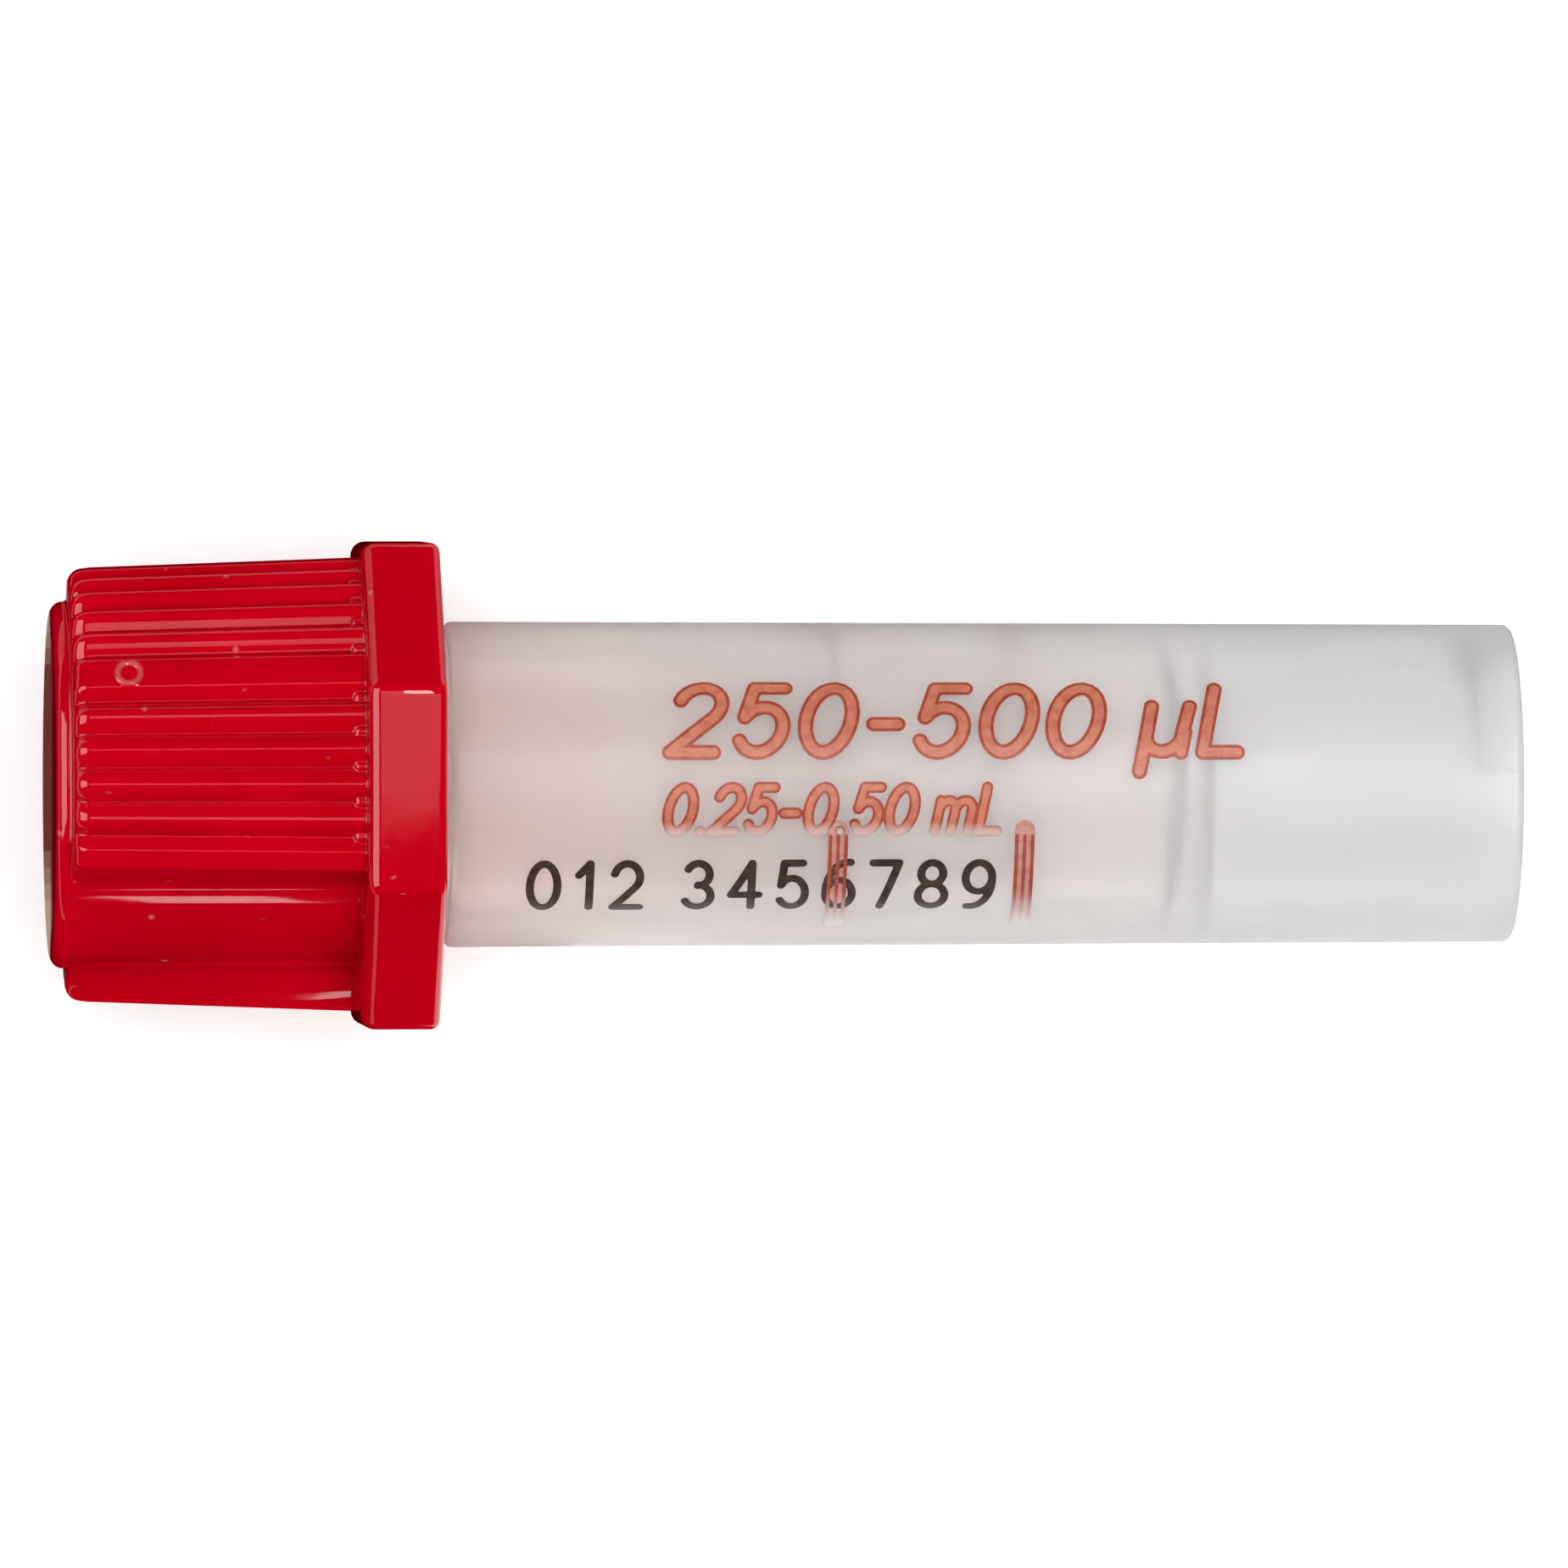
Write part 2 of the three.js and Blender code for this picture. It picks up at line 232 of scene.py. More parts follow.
def pad_share(offset):
    """How much of a pad's rise stands at an angle from its middle: 1 on its face, 0 on the core, and in
    between a side wall that runs out into the core, with its outer corner rounded."""
    t = np.linspace(0, 1, 80)
    start = PAD_BASE_RADIUS * np.exp(1j * math.radians(PAD_HALF))
    foot = CORE * np.exp(1j * math.radians(PAD_FOOT))
    straight = CORE * np.exp(1j * math.radians(PAD_HALF))
    knee = straight * (1 - PAD_LEAN) + foot * PAD_LEAN
    wall = start * (1 - t) ** 2 + 2 * knee * t * (1 - t) + foot * t**2
    angle = np.degrees(np.angle(wall))
    share = (np.abs(wall) - CORE) / (PAD_BASE_RADIUS - CORE)
    slope = (share[1] - share[0]) / (angle[1] - angle[0])
    reach = 3.0
    angle = np.concatenate([[angle[0] - reach], angle])
    share = np.concatenate([[share[0] - slope * reach], share])
    wall_share = np.interp(np.abs(offset), angle, share, right=0)
    rounded = soft_least(np.ones_like(wall_share), wall_share, 0.03)
    return np.clip(rounded, 0, 1)


def groove_depth(offset):
    """Depth of the knurl: V grooves between rounded crests, with a plain middle and plain ends."""
    from_first = np.abs(offset) - GROOVE_FIRST
    nearest = np.clip(np.round(from_first / GROOVE_PITCH), 0, GROOVES - 1)
    away = from_first - nearest * GROOVE_PITCH
    arc = np.radians(away) * PAD_BASE_RADIUS
    arc = np.hypot(arc, GROOVE_ROUND) - GROOVE_ROUND
    half_pitch = math.radians(GROOVE_PITCH / 2) * PAD_BASE_RADIUS
    crested = GROOVE_DEPTH * np.clip(1 - arc / half_pitch, 0, 1) ** 2
    edged = GROOVE_DEPTH * np.clip(1 - arc / GROOVE_HALF_WIDTH, 0, 1) ** 1.1
    outside = ((nearest == 0) & (away < 0)) | ((nearest == GROOVES - 1) & (away > 0))
    return np.where(outside, edged, crested)


def pip_radius(offset, height, floor_radius):
    """Outside of the round pips that end the grooves against the flange."""
    from_first = np.abs(offset) - GROOVE_FIRST
    nearest = np.clip(np.round(from_first / GROOVE_PITCH), 0, GROOVES - 1)
    arc = np.radians(from_first - nearest * GROOVE_PITCH) * PAD_BASE_RADIUS
    along = max(0, height - FLANGE_TOP - PIP_RADIUS)
    inside = PIP_RADIUS**2 - arc**2 - along**2
    return np.where(inside > 0, floor_radius + np.sqrt(np.clip(inside, 0, None)), 0)


def gate_mark(angles, height):
    """The raised ring that the mould's gate leaves in the plain middle of the first pad."""
    arc = np.radians(np.mod(angles - PAD_CENTRE + 180, 360) - 180) * PAD_TOP_RADIUS
    away = np.hypot(arc, height - GATE_HEIGHT)
    return GATE_RELIEF * np.exp(-(((away - GATE_RADIUS) / GATE_SOFTNESS) ** 2))


def pad_radius(height):
    part_way = (height - FLANGE_TOP) / (PAD_TOP - FLANGE_TOP)
    return PAD_BASE_RADIUS + (PAD_TOP_RADIUS - PAD_BASE_RADIUS) * part_way


def octagon(angles):
    """Radius of the flange's outline, flats facing 0, 45, 90 degrees and so on, corners rounded."""
    half_side = math.radians(22.5)
    from_flat = np.abs(np.radians(np.mod(angles + 22.5, 45) - 22.5))
    corner = (FLANGE_INRADIUS - FLANGE_CORNER) / math.cos(half_side)
    from_corner = half_side - from_flat
    meets = math.atan2(corner * math.sin(half_side), FLANGE_INRADIUS)
    on_flat = FLANGE_INRADIUS / np.cos(from_flat)
    under = np.clip(FLANGE_CORNER**2 - (corner * np.sin(from_corner)) ** 2, 0, None)
    on_corner = corner * np.cos(from_corner) + np.sqrt(under)
    return np.where(from_flat > meets, on_corner, on_flat)


def closure_angles():
    around = [np.arange(0, 360, 2.0)]
    fine_pad = np.arange(0, PAD_HALF - 1.5, 0.42)
    edge = np.arange(PAD_HALF - 1.5, PAD_HALF + 1.5, 0.2)
    side = np.arange(PAD_HALF + 1.5, PAD_FOOT + 1, 0.8)
    bottoms = GROOVE_FIRST + GROOVE_PITCH * np.arange(GROOVES)
    bottoms = np.add.outer(bottoms, (-0.3, -0.1, 0.1, 0.3)).ravel()
    one_side = np.concatenate([fine_pad, bottoms, edge, side])
    for centre in (PAD_CENTRE, PAD_CENTRE + 180):
        around += [centre + one_side, centre - one_side]
    corner = np.arange(-1.6, 1.61, 0.32)
    around += [22.5 + 45 * i + corner for i in range(8)]
    return thinned(np.concatenate(around), 0.1)


def closure_mesh():
    angles = closure_angles()
    made = Turned(angles)
    offset = pad_offset(angles)
    share = pad_share(offset)
    grooves = groove_depth(offset) * share
    outline = octagon(angles)
    plug_bore = PLUG - PLUG_WALL
    tip = CEILING - PLUG_LENGTH
    tip_inner, junction = 0.15, 0.05
    low_edge, pad_edge = FLANGE_LOW_EDGE, FLANGE_PAD_EDGE

    made.ring(0, CEILING)
    made.bend(plug_bore - FILLET, CEILING - FILLET, FILLET, 90, 0, 3)
    made.bend(plug_bore + tip_inner, tip + tip_inner, tip_inner, 180, 270, 3)
    made.bend(PLUG - PLUG_TIP_ROUND, tip + PLUG_TIP_ROUND, PLUG_TIP_ROUND, 270, 360, 5)
    made.bend(PLUG + FILLET, CEILING - FILLET, FILLET, 180, 90, 3)
    made.bend(CLOSURE_BORE - FILLET, CEILING - FILLET, FILLET, 90, 0, 3)
    made.ring(CLOSURE_BORE, OPEN_END + MOUTH_CHAMFER)
    made.ring(CLOSURE_BORE + MOUTH_CHAMFER, OPEN_END)
    made.bend(outline - low_edge, OPEN_END + low_edge, low_edge, 270, 360, 5)
    made.bend(outline - pad_edge, FLANGE_TOP - pad_edge, pad_edge, 0, 90, 6)

    def outer(height):
        pad = pad_radius(height)
        here = CORE + share * (pad - CORE) - grooves + gate_mark(angles, height)
        pips = pip_radius(offset, height, pad - GROOVE_DEPTH)
        return np.maximum(here, np.where(share > 0.95, pips, 0))

    base = outer(FLANGE_TOP + junction)
    made.bend(base + junction, FLANGE_TOP + junction, junction, 270, 180, 3)
    # Rings lie closer where the pips end and round the gate.
    end_round = PAD_TOP - PAD_ROUND
    gate = np.arange(GATE_HEIGHT - 0.54, GATE_HEIGHT + 0.55, 0.06)
    past_pips = (0.12, 0.19, 0.24, 0.28, 0.32, 0.35, 0.375, 0.39, 0.41, 0.45, 0.6)
    near_flange = FLANGE_TOP + np.array(past_pips)
    between = np.linspace(FLANGE_TOP + 1.2, GATE_HEIGHT - 0.8, 6)
    for height in [*near_flange, *between, *gate, end_round - 0.2]:
        made.ring(outer(height), height)
    # Each pad ends in a soft round, as deep as the pad stands there.
    face = CORE + share * (PAD_TOP_RADIUS - CORE) - grooves
    stands = np.clip((face - CORE) / 0.3, 0, 1)
    drop = np.minimum(PAD_ROUND, 0.9 * (face - CORE))
    last = PAD_TOP - 0.03 * (1 - stands)
    for turned in np.radians(np.linspace(0, 90, 8)):
        height = end_round + (last - end_round) * math.sin(turned)
        made.ring(face - drop * (1 - math.cos(turned)), height)
    made.bend(CORE + 0.1 * stands, PAD_TOP + 0.1, 0.1 * stands, 270, 180, 3, round_z=0.1)
    made.bend(CORE - TOP_ROUND, LENGTH - TOP_ROUND, TOP_ROUND, 0, 90, 8)
    for radius in (4.6, 3.2, 1.6, 0.4):
        made.ring(radius, LENGTH)
    made.ring(0, LENGTH)
    return made.mesh("closure_moulding")


# ---------------------------------------------------------------- tube


def tube_angles():
    around = [np.arange(0, 360, 1.875)]
    for edge in (KEY_ANGLE - KEY_HALF_ANGLE, KEY_ANGLE + KEY_HALF_ANGLE):
        around.append(edge + np.array([-0.5, -0.2, 0.2, 0.5]))
    return thinned(np.concatenate(around), 0.15)


def body_radius(height):
    """Outside of the drafted body."""
    return RIM + BODY_DRAFT * height / SHOULDER


def tube_mesh():
    angles = tube_angles()
    made = Turned(angles)
    ceiling_bore = RIM_BORE - SKIRT_DRAFT
    in_key = KEY_HALF_ANGLE - np.abs(np.mod(angles - KEY_ANGLE + 180, 360) - 180)
    key = KEY_DEPTH * np.clip(in_key / 0.4 + 0.5, 0, 1)
    sky = np.clip((NECK * np.cos(np.radians(angles)) + LIP_SLOPE / 2) / LIP_SLOPE, 0, 1)
    mouth = LIP - LIP_RISE * (1 - sky**2 * (3 - 2 * sky))
    floor_bore = BORE - BORE_DRAFT
    floor = SKIRT_DEPTH + FLOOR
    inner_edge = 0.1

    made.ring(0, SKIRT_DEPTH)
    made.ring(ceiling_bore / 2, SKIRT_DEPTH)
    made.bend(ceiling_bore - CEILING_ROUND, SKIRT_DEPTH - CEILING_ROUND, CEILING_ROUND, 90, 0, 6)
    for height in (6, 3):
        made.ring(RIM_BORE - SKIRT_DRAFT * height / SKIRT_DEPTH, height)
    made.ring(RIM_BORE - 0.01, KEY_HEIGHT + 0.02)
    made.ring(RIM_BORE + key, KEY_HEIGHT - 0.02)
    made.bend(RIM_BORE + key + inner_edge, inner_edge, inner_edge, 180, 270, 3)
    made.bend(RIM - RIM_ROUND, RIM_ROUND, RIM_ROUND, 270, 360, 6)
    for height in np.linspace(2, SHOULDER - 2, 9):
        made.ring(body_radius(height), height)
    made.bend(BODY - SHOULDER_ROUND, SHOULDER - SHOULDER_ROUND, SHOULDER_ROUND, 0, 90, 5)
    made.bend(NECK + FILLET, SHOULDER + FILLET, FILLET, 270, 180, 3)
    made.bend(NECK - MOUTH_ROUND, mouth - MOUTH_ROUND, MOUTH_ROUND, 0, 90, 5)
    made.bend(BORE + MOUTH_ROUND, mouth - MOUTH_ROUND, MOUTH_ROUND, 90, 180, 5)
    made.ring(BORE, SHOULDER)
    for height in (27, 22, 17):
        part_way = (height - floor - BOWL_DEPTH) / (SHOULDER - floor - BOWL_DEPTH)
        made.ring(floor_bore + BORE_DRAFT * part_way, height)
    made.bend(0, floor + BOWL_DEPTH, floor_bore, 0, -84, 14, round_z=BOWL_DEPTH)
    made.ring(0, floor)
    return made.mesh("tube_moulding")


# ---------------------------------------------------------------- print, wrapped round the body

INK_ABOVE = 0.012
FILL_ABOVE = 0.018  # ink printed over other ink
INK_BELOW = 0.02


def arc(x, y, across, up, start, stop):
    """Points along an elliptical arc, angles in degrees."""
    turned = np.radians(np.linspace(start, stop, 2 + int(abs(stop - start) / 15)))
    return np.stack([x + across * np.cos(turned), y + up * np.sin(turned)], -1)


def path(*pieces):
    return np.vstack(pieces)


# Each character: how wide it is and its pen strokes, drawn one unit high.
CHARACTERS = {
    "0": (0.6, [arc(0.3, 0.5, 0.3, 0.5, 0, 360)]),
    "1": (0.34, [path([(0.02, 0.76), (0.26, 1), (0.26, 0)])]),
    "2": (0.58, [path(arc(0.29, 0.71, 0.28, 0.29, 165, -40), [(0, 0), (0.58, 0)])]),
    "3": (0.56, [arc(0.27, 0.76, 0.25, 0.24, 150, -90), arc(0.27, 0.27, 0.29, 0.27, 88, -155)]),
    "4": (0.6, [path([(0.44, 0), (0.44, 1), (0, 0.3), (0.6, 0.3)])]),
    "5": (0.57, [path([(0.5, 1), (0.1, 1), (0.04, 0.52)], arc(0.28, 0.34, 0.29, 0.34, 128, -150))]),
    "6": (0.58, [arc(0.29, 0.32, 0.29, 0.32, 0, 360), arc(0.46, 0.36, 0.46, 0.66, 180, 82)]),
    "7": (0.56, [path([(0, 1), (0.56, 1), (0.18, 0)])]),
    "8": (0.58, [arc(0.29, 0.77, 0.24, 0.23, 0, 360), arc(0.29, 0.27, 0.29, 0.27, 0, 360)]),
    "9": (0.58, [arc(0.29, 0.68, 0.29, 0.32, 0, 360), arc(0.12, 0.64, 0.46, 0.66, 0, -98)]),
    "-": (0.36, [path([(0.02, 0.42), (0.34, 0.42)])]),
    ".": (0.06, [path([(0.03, 0), (0.03, 0.01)])]),
    "m": (0.82, [path([(0, 0), (0, 0.7)]), path(arc(0.2, 0.48, 0.2, 0.22, 170, 0), [(0.4, 0)]),
                 path(arc(0.61, 0.48, 0.21, 0.22, 170, 0), [(0.82, 0)])]),
    "µ": (0.5, [path([(0, 0.7), (0, -0.28)]), path(arc(0.24, 0.26, 0.24, 0.25, 180, 340), [(0.5, 0.7)]),
                path([(0.5, 0.3), (0.5, 0)])]),
    "L": (0.46, [path([(0, 1), (0, 0), (0.46, 0)])]),
    " ": (0.1, []),
}


def written(text, height, gap, slant=0.0, stretch=1.0):
    """The pen strokes of a line of characters, in mm, with gap between them."""
    strokes = []
    pen = 0
    for character in text:
        width, shapes = CHARACTERS[character]
        for shape in shapes:
            x = pen + (shape[:, 0] * stretch + shape[:, 1] * slant) * height
            strokes.append(np.stack([x, shape[:, 1] * height], -1))
        pen += width * stretch * height + gap
    return strokes


def inked(strokes, half_width, grid):
    """Everything within half_width of the strokes, as flat points and faces cut from a square grid."""
    reach = half_width + 2 * grid
    corner = np.min([s.min(0) for s in strokes], axis=0) - reach
    far = np.max([s.max(0) for s in strokes], axis=0) + reach
    count = np.ceil((far - corner) / grid).astype(int) + 1
    field = np.full(count, -reach)
    for stroke in strokes:
        low = np.floor((stroke.min(0) - reach - corner) / grid).astype(int).clip(0)
        high = np.ceil((stroke.max(0) + reach - corner) / grid).astype(int) + 1
        window = tuple(slice(a, b) for a, b in zip(low, high))
        shape = field[window].shape
        place = corner + (np.stack(np.indices(shape), -1) + low) * grid
        for start, end in zip(stroke[:-1], stroke[1:]):
            run = end - start
            share = ((place - start) @ run / (run @ run)).clip(0, 1)
            away = np.linalg.norm(place - start - share[..., None] * run, axis=-1)
            field[window] = np.maximum(field[window], half_width - away)
    field[np.abs(field) < grid * 0.02] = grid * 0.02
    points, faces, known = [], [], {}

    def point(at, other=None):
        key = (at, other) if other is None or at < other else (other, at)
        if key not in known:
            known[key] = len(points)
            share = 0 if other is None else field[at] / (field[at] - field[other])
            towards = 0 if other is None else (np.array(other) - at) * share
            points.append(corner + (np.array(at) + towards) * grid)
        return known[key]

    inside = field > 0
    touched = inside[:-1, :-1] | inside[1:, :-1] | inside[1:, 1:] | inside[:-1, 1:]
    for i, j in np.argwhere(touched).tolist():
        square = [(i, j), (i + 1, j), (i + 1, j + 1), (i, j + 1)]
        face = []
        for at, after in zip(square, square[1:] + square[:1]):
            if inside[at]:
                face.append(point(at))
            if inside[at] != inside[after]:
                face.append(point(at, after))
        faces.append(face)
    return np.array(points), faces


def add_print(name, flat, along, angle, material, above=INK_ABOVE):
    """A flat drawing in mm, x along the tube and y round it, laid on the body as a thin closed layer.
    along is its origin's distance from the closure's top, angle its place round the tube."""
    points, faces = flat
    height = LENGTH - along - points[:, 0]
    radius = body_radius(height) + above
    turned = math.radians(angle) + points[:, 1] / BODY
    placed = np.stack([radius * np.cos(turned), radius * np.sin(turned), height], -1) * MM
    mesh = bpy.data.meshes.new(name)
    mesh.from_pydata(placed.tolist(), [], faces)
    piece = add_piece(name, mesh, material, "tube", weighted=False)
    layer = piece.modifiers.new("ink layer", "SOLIDIFY")
    layer.thickness = (INK_ABOVE + INK_BELOW) * MM
    layer.offset = -1
    return piece


# ---------------------------------------------------------------- materials


def grey(value):
    return (value, value, value, 1)


BLACK, WHITE = grey(0), grey(1)


def new_material(name):
    material = bpy.data.materials.new(name)
    material.use_nodes = True
    tree = material.node_tree
    return material, tree, tree.nodes["Principled BSDF"]


def node(tree, kind, inputs=None, **settings):
    made = tree.nodes.new(kind)
    for key, value in settings.items():
        setattr(made, key, value)
    for key, value in (inputs or {}).items():
        if hasattr(value, "is_output"):
            tree.links.new(value, made.inputs[key])
        else:
            made.inputs[key].default_value = value
    return made


def calculated(tree, operation, *values):
    return node(tree, "ShaderNodeMath", dict(enumerate(values)), operation=operation).outputs["Value"]


def in_tube(tree):
    """Where a point is in the tube's own coordinates, in metres, wherever its body has moved to."""
    place = node(tree, "ShaderNodeTexCoord").outputs["Object"]
    back = to_row.inverted()
    settings = {"Vector": place, "Location": back.to_translation(), "Rotation": back.to_euler()}
    return node(tree, "ShaderNodeMapping", settings, vector_type="POINT").outputs["Vector"]


def noise(tree, place, scale, detail=2.0):
    settings = {"Vector": place, "Scale": scale, "Detail": detail}
    return node(tree, "ShaderNodeTexNoise", settings).outputs["Fac"]


def spread(tree, factor, low, high):
    """A noise's usual range, 0.3 to 0.7, carried over to low and high."""
    settings = {"Value": factor, "From Min": 0.3, "From Max": 0.7, "To Min": low, "To Max": high}
    return node(tree, "ShaderNodeMapRange", settings).outputs["Result"]


def ramp(tree, factor, stops):
    """Colours (place, colour) along a factor."""
    made = node(tree, "ShaderNodeValToRGB", {"Fac": factor})
    while len(made.color_ramp.elements) < len(stops):
        made.color_ramp.elements.new(0.5)
    for element, (place, colour) in zip(made.color_ramp.elements, stops):
        element.position = place
        element.color = colour
    return made.outputs["Color"]


def mixed(tree, share, first, second, blend_type="MIX"):
    inputs = {0: share, 6: first, 7: second}
    return node(tree, "ShaderNodeMix", inputs, data_type="RGBA", blend_type=blend_type).outputs[2]


def finish_shader(tree, shader, colour, roughness, relief, strength, depth, constants):
    """Links what changes over the surface, and sets what doesn't. depth is the relief's, in metres."""
    bump = node(tree, "ShaderNodeBump", {"Height": relief, "Strength": strength, "Distance": depth})
    tree.links.new(colour, shader.inputs["Base Color"])
    tree.links.new(roughness, shader.inputs["Roughness"])
    tree.links.new(bump.outputs["Normal"], shader.inputs["Normal"])
    for socket, value in constants.items():
        shader.inputs[socket].default_value = value


def red_plastic():
    """Glossy moulded plastic, slightly wavy, with a few pale pimples, and round the gate a pale ring that
    is a painted highlight.
    """
    material, tree, shader = new_material("red_plastic")
    place = in_tube(tree)
    colour = ramp(
        tree,
        noise(tree, place, 260.0, 3.0),
        [(0.3, (0.54, 0.0, 0.009, 1)), (0.7, (0.61, 0.0, 0.013, 1))],
    )
    roughness = spread(tree, noise(tree, place, 2600.0, 4.0), 0.02, 0.035)

    specks = node(tree, "ShaderNodeTexVoronoi", {"Vector": place, "Scale": 900.0})
    dots = ramp(tree, specks.outputs["Distance"], [(0.0, WHITE), (0.13, BLACK)])
    seldom = ramp(tree, noise(tree, place, 700.0), [(0.56, BLACK), (0.62, WHITE)])
    pimples = calculated(tree, "MULTIPLY", dots, seldom)

    # Painted highlight: the gate's raised ring is coloured pale all round, for the shine it shows.
    turned = math.radians(PAD_CENTRE)
    gate = Vector((PAD_TOP_RADIUS * math.cos(turned), PAD_TOP_RADIUS * math.sin(turned), GATE_HEIGHT)) * MM
    from_gate = node(tree, "ShaderNodeVectorMath", {0: place, 1: gate}, operation="DISTANCE")
    from_gate_mm = calculated(tree, "MULTIPLY", from_gate.outputs["Value"], 1 / MM)
    ring = ramp(tree, from_gate_mm, [(0.24, BLACK), (0.33, WHITE), (0.39, WHITE), (0.48, BLACK)])
    # pale adds the painted highlight of the gate ring to the pimples' own pale colour.
    pale = calculated(tree, "MULTIPLY_ADD", ring, 0.3, pimples)
    colour = mixed(tree, pale, colour, (0.7, 0.3, 0.27, 1))

    relief = calculated(tree, "MULTIPLY_ADD", noise(tree, place, 420.0), 0.12, pimples)
    constants = {
        "IOR": 1.5,
        "Specular IOR Level": 0.45,
        "Subsurface Weight": 0.7,
        "Subsurface Scale": 0.0005,
        "Subsurface Radius": (1.0, 0.05, 0.05),
    }
    finish_shader(tree, shader, colour, roughness, relief, 0.35, 0.00003, constants)
    return material


def frosted_plastic():
    """Cloudy plastic with a fine grain, drawn out along the tube. Its grey turns pinker towards the
    closure, a painted red glow from the closure, and lighter and darker along the tube, as painted light
    and shade.
    """
    material, tree, shader = new_material("frosted_plastic")
    place = in_tube(tree)
    along = node(tree, "ShaderNodeSeparateXYZ", {"Vector": place}).outputs["Z"]
    # Painted light: along the tube its pale grey is painted lighter and darker, and pinker towards the
    # closure as a painted red glow from it.
    share = node(tree, "ShaderNodeMapRange", {"Value": along, "From Min": 0.0, "From Max": OPEN_END * MM})
    painted_glow_tint = ramp(
        tree,
        share.outputs["Result"],
        [
            (0.0, (0.84, 0.84, 0.84, 1)),
            (0.27, (0.86, 0.855, 0.855, 1)),
            (0.36, (0.88, 0.85, 0.84, 1)),
            (0.65, (0.84, 0.80, 0.785, 1)),
            (1.0, (0.87, 0.785, 0.755, 1)),
        ],
    )
    roughness = spread(tree, noise(tree, place, 5200.0, 3.0), 0.4, 0.5)
    stretched = node(tree, "ShaderNodeMapping", {"Vector": place, "Scale": (1.0, 1.0, 0.12)})
    drawn = stretched.outputs["Vector"]
    streaks = ramp(tree, noise(tree, drawn, 380.0, 4.0), [(0.3, grey(0.9)), (0.7, WHITE)])
    colour = mixed(tree, 1.0, painted_glow_tint, streaks, "MULTIPLY")
    constants = {
        "IOR": 1.32,
        "Transmission Weight": 0.7,
        "Subsurface Weight": 1.0,
        "Subsurface Scale": 0.0015,
        "Subsurface Radius": (1.0, 0.9, 0.85),
    }
    finish_shader(tree, shader, colour, roughness, noise(tree, drawn, 900.0), 0.2, 0.00002, constants)
    return material


BARE_TUBE = (0.68, 0.63, 0.61, 1)


def ink(name, colour, darker, fading):
    """Patchy ink, which fades into the bare tube: the last argument lists (angle round the tube, how far
    the ink fades there), angles rising. At the digits' and the fill lines' lower ends this fade is painted
    sheen.
    """
    material, tree, shader = new_material(name)
    place = in_tube(tree)
    patchy = ramp(tree, noise(tree, place, 3200.0, 3.0), [(0.35, (*darker, 1)), (0.6, (*colour, 1))])
    parts = node(tree, "ShaderNodeSeparateXYZ", {"Vector": place})
    angle = calculated(tree, "ARCTAN2", parts.outputs["Y"], parts.outputs["X"])
    half_turn = {"Value": angle, "From Min": -math.pi / 2, "From Max": math.pi / 2}
    turned = node(tree, "ShaderNodeMapRange", half_turn).outputs["Result"]
    fade_share = ramp(tree, turned, [((place + 90) / 180, grey(share)) for place, share in fading])
    # Fading into the bare tube colour stands for painted sheen at the digits' and the fill lines' lower
    # ends.
    tree.links.new(mixed(tree, fade_share, patchy, BARE_TUBE), shader.inputs["Base Color"])
    shader.inputs["Roughness"].default_value = 0.4
    return material


# ---------------------------------------------------------------- the object

PRINT_EDGE = [(-16.5, 0.62), (-12.5, 0)]  # the red print is thin at its lower edge
# The digits fade into the bare tube at their lower ends: painted sheen, the glare over the tube's lower
# side.
DIGITS_FOOT = [(-54, 0.25), (-45, 0)]
LINES_FOOT = [(-57, 0.95), (-41, 0)]  # the fill lines fade into the bare tube here: painted sheen

red = red_plastic()
frosted = frosted_plastic()
pale_ink = ink("pale_red_ink", (0.61, 0.2, 0.125), (0.51, 0.14, 0.08), PRINT_EDGE)
dark_ink = ink("dark_red_ink", (0.42, 0.07, 0.034), (0.32, 0.038, 0.018), PRINT_EDGE)
band_ink = ink("fill_line_ink", (0.6, 0.3, 0.25), (0.52, 0.21, 0.16), LINES_FOOT)
stroke_ink = ink("fill_stroke_ink", (0.43, 0.085, 0.06), (0.35, 0.055, 0.04), LINES_FOOT)
black_ink = ink("black_ink", (0.07, 0.04, 0.033), (0.035, 0.02, 0.017), DIGITS_FOOT)

add_piece("closure_moulding", closure_mesh(), red, "closure", replaces="closure")
add_piece("tube_moulding", tube_mesh(), frosted, "tube", replaces="tube")


def add_outlined(name, strokes, outline, fill, grid, along, angle):
    """Round-ended pale characters with a dark outline. outline and fill are half widths."""
    add_print(f"{name}_outline", inked(strokes, outline, grid), along, angle, dark_ink)
    add_print(f"{name}_fill", inked(strokes, fill, grid), along, angle, pale_ink, FILL_ABOVE)


big = written("250-500 µL", 2.17, 0.66, slant=0.2, stretch=1.07)
add_outlined("volume", big, outline=0.235, fill=0.14, grid=0.05, along=18.75, angle=12.2)
small = written("0.25-0.50 mL", 1.38, 0.32, slant=0.2, stretch=0.9)
add_outlined("millilitres", small, outline=0.175, fill=0.095, grid=0.04, along=18.58, angle=-16)
digits = written("012 3456789", 1.72, 0.62, stretch=0.82)
add_print("digits", inked(digits, 0.125, 0.04), along=14.53, angle=-47.9, material=black_ink)

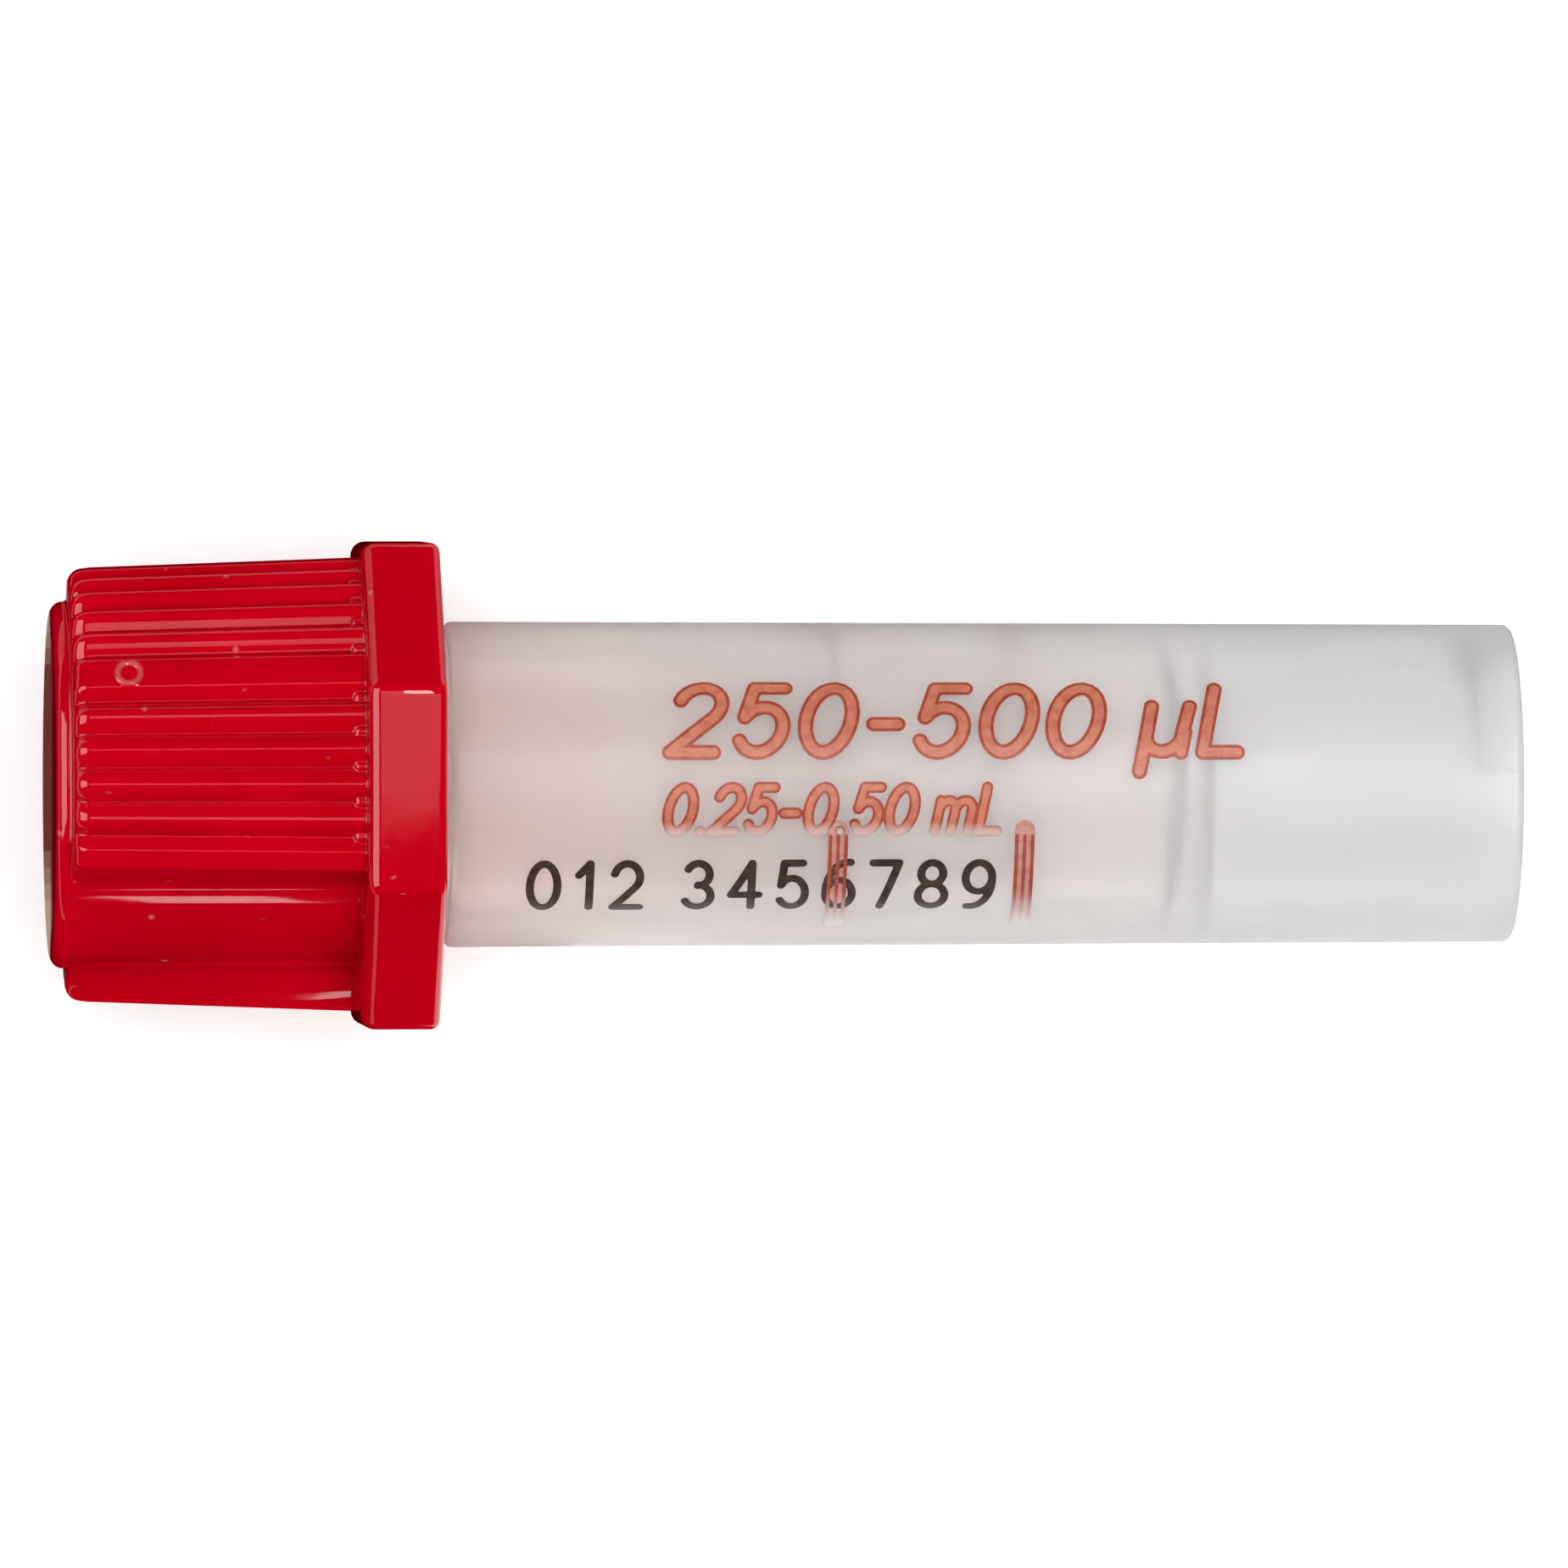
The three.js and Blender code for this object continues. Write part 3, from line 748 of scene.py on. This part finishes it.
# Each fill line is a pale band with three fine dark strokes on it, on both sides of the tube.
FILL_LINES = (23.93, 29.65)  # distance from the closure's top
LINE_ANGLES = {"front": (-60, -12), "back": (-266, -124)}
BAND_HALF = 0.3
STROKE_HALF = 0.055
STROKES = (-0.24, 0, 0.24)
for number, along in enumerate(FILL_LINES, start=1):
    for side, (start, stop) in LINE_ANGLES.items():
        sweep = math.radians(stop - start) * BODY
        wide = [path([(0, BAND_HALF), (0, sweep - BAND_HALF)])]
        fine = [path([(x, 0.1), (x, sweep - 0.5)]) for x in STROKES]
        name = f"fill_line_{number}_{side}"
        add_print(name, inked(wide, BAND_HALF, 0.05), along, start, band_ink)
        strokes = inked(fine, STROKE_HALF, 0.025)
        add_print(f"{name}_strokes", strokes, along, start, stroke_ink, FILL_ABOVE)

# ---------------------------------------------------------------- studio, in metres

SENSOR = 36.0
VIEW_DISTANCE = 0.717
VIEW_WIDTH = 48.2264 * MM
VIEW_LEAN = math.radians(0.35)
VIEW_TILT = math.radians(1.0)
AIM_BELOW_TOP = 22.6 * MM
AXIS_HEIGHT = 0.007


def add_floor():
    bpy.ops.mesh.primitive_plane_add(size=4)
    floor = bpy.context.object
    floor.name = "floor"
    material, tree, shader = new_material("pale_floor")
    shader.inputs["Base Color"].default_value = grey(0.75)
    shader.inputs["Roughness"].default_value = 0.9
    shader.inputs["Specular IOR Level"].default_value = 0.1
    shader.inputs["Emission Color"].default_value = WHITE
    shader.inputs["Emission Strength"].default_value = 0.45
    floor.data.materials.append(material)
    floor.visible_glossy = False
    floor.visible_diffuse = False


def add_light(name, size, radiance, place, colour=(1, 1, 1), glossy=True, diffuse=True):
    """A panel as bright as a white surface would be at that radiance. It shines along its own -Z."""
    light = bpy.data.lights.new(name, "AREA")
    light.shape = "RECTANGLE"
    light.size, light.size_y = size
    light.energy = radiance * math.pi * size[0] * size[1]
    light.color = colour
    panel = bpy.data.objects.new(name, light)
    bpy.context.scene.collection.objects.link(panel)
    panel.matrix_world = place
    panel.visible_camera = False
    panel.visible_glossy = glossy
    panel.visible_diffuse = diffuse
    return panel


def add_level_panel(name, x, y, height, radiance, **seen):
    """A level panel between two x and two y, which shines down."""
    place = Matrix.Translation((sum(x) / 2, sum(y) / 2, height))
    return add_light(name, (x[1] - x[0], y[1] - y[0]), radiance, place, **seen)


def add_card(name, x, y, height, radiance, **seen):
    """A level panel between two x and two y, which lies just above the floor and shines up."""
    middle = Matrix.Translation((sum(x) / 2, sum(y) / 2, height))
    place = middle @ Matrix.Rotation(math.pi, 4, "X")
    return add_light(name, (x[1] - x[0], y[1] - y[0]), radiance, place, **seen)


def add_panel(name, side_x, side_y, away, size, radiance, **seen):
    """A panel that faces the object. Its middle is turned side_y degrees from straight up towards +Y,
    then side_x degrees towards +X."""
    side_x, side_y = math.radians(side_x), math.radians(side_y)
    level = math.cos(side_x)
    outward = Vector((math.sin(side_x), level * math.sin(side_y), level * math.cos(side_y)))
    across = (Vector((1, 0, 0)) - outward * outward.x).normalized()
    faces = Matrix((across, outward.cross(across), outward)).transposed().to_4x4()
    place = Matrix.Translation(outward * away + Vector((0, 0, AXIS_HEIGHT))) @ faces
    return add_light(name, size, radiance, place, **seen)


def add_world():
    world = bpy.data.worlds.new("studio")
    bpy.context.scene.world = world
    world.use_nodes = True
    backdrop = world.node_tree.nodes["Background"]
    backdrop.inputs["Color"].default_value = WHITE
    backdrop.inputs["Strength"].default_value = 0.22
    world.cycles_visibility.glossy = False


def add_camera():
    camera = bpy.data.cameras.new("camera")
    camera.sensor_width = SENSOR
    camera.lens = SENSOR * VIEW_DISTANCE / VIEW_WIDTH
    camera.clip_start = 0.01
    holder = bpy.data.objects.new("camera", camera)
    bpy.context.scene.collection.objects.link(holder)
    aim = top_centre - axis * AIM_BELOW_TOP
    aim.y = 0
    away = Vector((math.tan(VIEW_LEAN), math.tan(VIEW_TILT), 1)).normalized()
    holder.location = aim + away * VIEW_DISTANCE
    holder.rotation_euler = (-VIEW_TILT, VIEW_LEAN, 0)
    bpy.context.scene.camera = holder


add_floor()
add_world()

# Panels in one plane hide one another in a reflection, so those that overlap lie at different heights.
reflected_only = {"diffuse": False}
unreflected = {"glossy": False}

# Above.
add_level_panel("overhead", (-0.3, 0.4), (-0.3, 0.4), 0.9, 5.1, **unreflected)
add_level_panel("beside_camera", (-0.15, 0.67), (-0.0157, 0.11), 0.8, 1.1)
add_level_panel("strip_lamp", (-0.15, 0.078), (0.11, 0.3), 0.8, 1.5, **reflected_only)
add_level_panel("bright_lamp", (0.078, 0.2), (0.11, 0.35), 0.79, 13, **reflected_only)

# At the sides.
add_panel("left_window", -46, 10, 0.6, (0.55, 0.7), 4, **reflected_only)
add_panel("far_below", 0, 113, 0.5, (1.2, 0.27), 0.6, **reflected_only)
add_panel("end_wall", 88, 0, 0.3, (0.5, 0.5), 1.4, glossy=False, diffuse=False)
add_panel("low_lamp", 1.66, -76.4, 0.5, (0.0085, 0.042), 5)

# What the surface throws back, left of the closure and on both sides of the tube.
add_card("left_below", (-0.6, -0.06), (-0.4, 0.4), 0.001, 0.8, **reflected_only)
add_card("left_bounce", (-0.12, -0.0234), (-0.05, 0.05), 0.0003, 1.4, **unreflected)
under_tube = add_card("under_tube", (-0.01, 0.045), (-0.006, 0.05), 0.0004, 1.3, **unreflected)
under_tube.visible_transmission = False
add_card("near_card", (-0.0065, 0.05), (-0.06, -0.006), 0.0004, 1.85)
add_card("near_card_end", (-0.0098, -0.0055), (-0.03, -0.005), 0.0003, 10, **unreflected)
add_card("far_card", (-0.0095, 0.05), (0.007, 0.06), 0.0005, 0.4)
add_card("far_card_end", (-0.0095, -0.004), (0.005, 0.04), 0.0003, 1.5, **unreflected)

# The surface as the closure's top face mirrors it: dark in the middle, in steps lighter at both ends.
END_X = (-0.02335, -0.0229)
END_Y = (-0.0062, 0.0062)
END_STEPS = 4
END_STEP = 0.0005
CREAM = {"colour": (1, 0.9, 0.66), **reflected_only}
BROWN = {"colour": (1, 0.85, 0.7), **reflected_only}
for step in range(END_STEPS):
    far = (0.0036 + END_STEP * step, END_Y[1])
    near = (END_Y[0], -0.0022 - END_STEP * step)
    for side, y in (("far", far), ("near", near)):
        add_card(f"end_card_{side}_{step}", END_X, y, 0.0006 + 0.0001 * step, 0.09, **CREAM)
add_card("end_card_middle", END_X, END_Y, 0.001, 0.045, **BROWN)

add_camera()
bpy.context.scene.view_settings.view_transform = "Standard"
